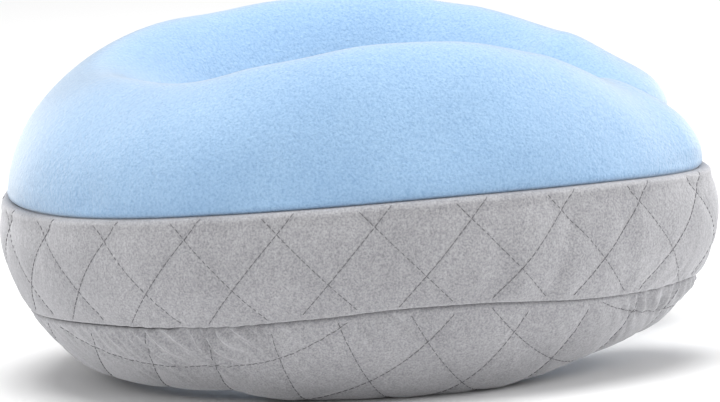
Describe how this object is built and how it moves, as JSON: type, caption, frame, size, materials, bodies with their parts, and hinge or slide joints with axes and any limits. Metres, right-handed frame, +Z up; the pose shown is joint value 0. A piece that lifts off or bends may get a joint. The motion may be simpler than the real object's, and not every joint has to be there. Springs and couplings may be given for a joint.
{
  "type": "horseshoe neck pillow",
  "caption": "Horseshoe-shaped foam pillow with a plush top, a quilted side band and underside, and a zip round the back.",
  "frame": {"origin": "centre of the pillow's bounding box, on the plane it rests on", "axes": "+Z up out of the resting plane, +Y toward the closed back, -Y toward the opening between the tips, +X toward the zip's closed end"},
  "size_m": [0.2962, 0.3025, 0.1493],
  "materials": {
    "plush": "short brushed plush pile",
    "velour": "short-pile velour, diamond quilted",
    "wadding": "lofted polyester fibre",
    "scrim": "thin non-woven",
    "liner": "fine stretch jersey",
    "foam": "open-cell viscoelastic foam",
    "zip_tape": "narrow woven tape",
    "zip_coil": "satin nylon monofilament",
    "zip_metal": "satin plated zinc",
    "label": "blank printed-satin ribbon"
  },
  "bodies": {
    "cover": {"top_panel": "plush", "side_band": "velour", "side_band_wadding": "wadding", "side_band_backing": "scrim", "base_panel": "velour", "base_panel_wadding": "wadding", "base_panel_backing": "scrim", "liner_top": "liner", "liner_base": "liner", "foam_core": "foam", "zip_tape_upper": "zip_tape", "zip_coil_upper": "zip_coil", "zip_tape_lower": "zip_tape", "zip_coil_lower": "zip_coil", "zip_top_stop_upper": "zip_metal", "zip_top_stop_lower": "zip_metal", "zip_bottom_stop": "zip_metal", "care_label": "label"},
    "slider": {"zip_slider": "zip_metal"},
    "pull": {"zip_pull": "zip_metal"}
  },
  "joints": [
    {"name": "zip_slide", "type": "hinge", "parent": "cover", "child": "slider", "pos_m": [0, 0.00748, 0.036], "axis": [0, 0, 1], "range_deg": [0, 84]},
    {"name": "pull_flip", "type": "hinge", "parent": "slider", "child": "pull", "pos_m": [0.09173, 0.10935, 0.03513], "axis": [-0.3076, -0.3416, -0.8881], "range_deg": [0, 170]}
  ]
}
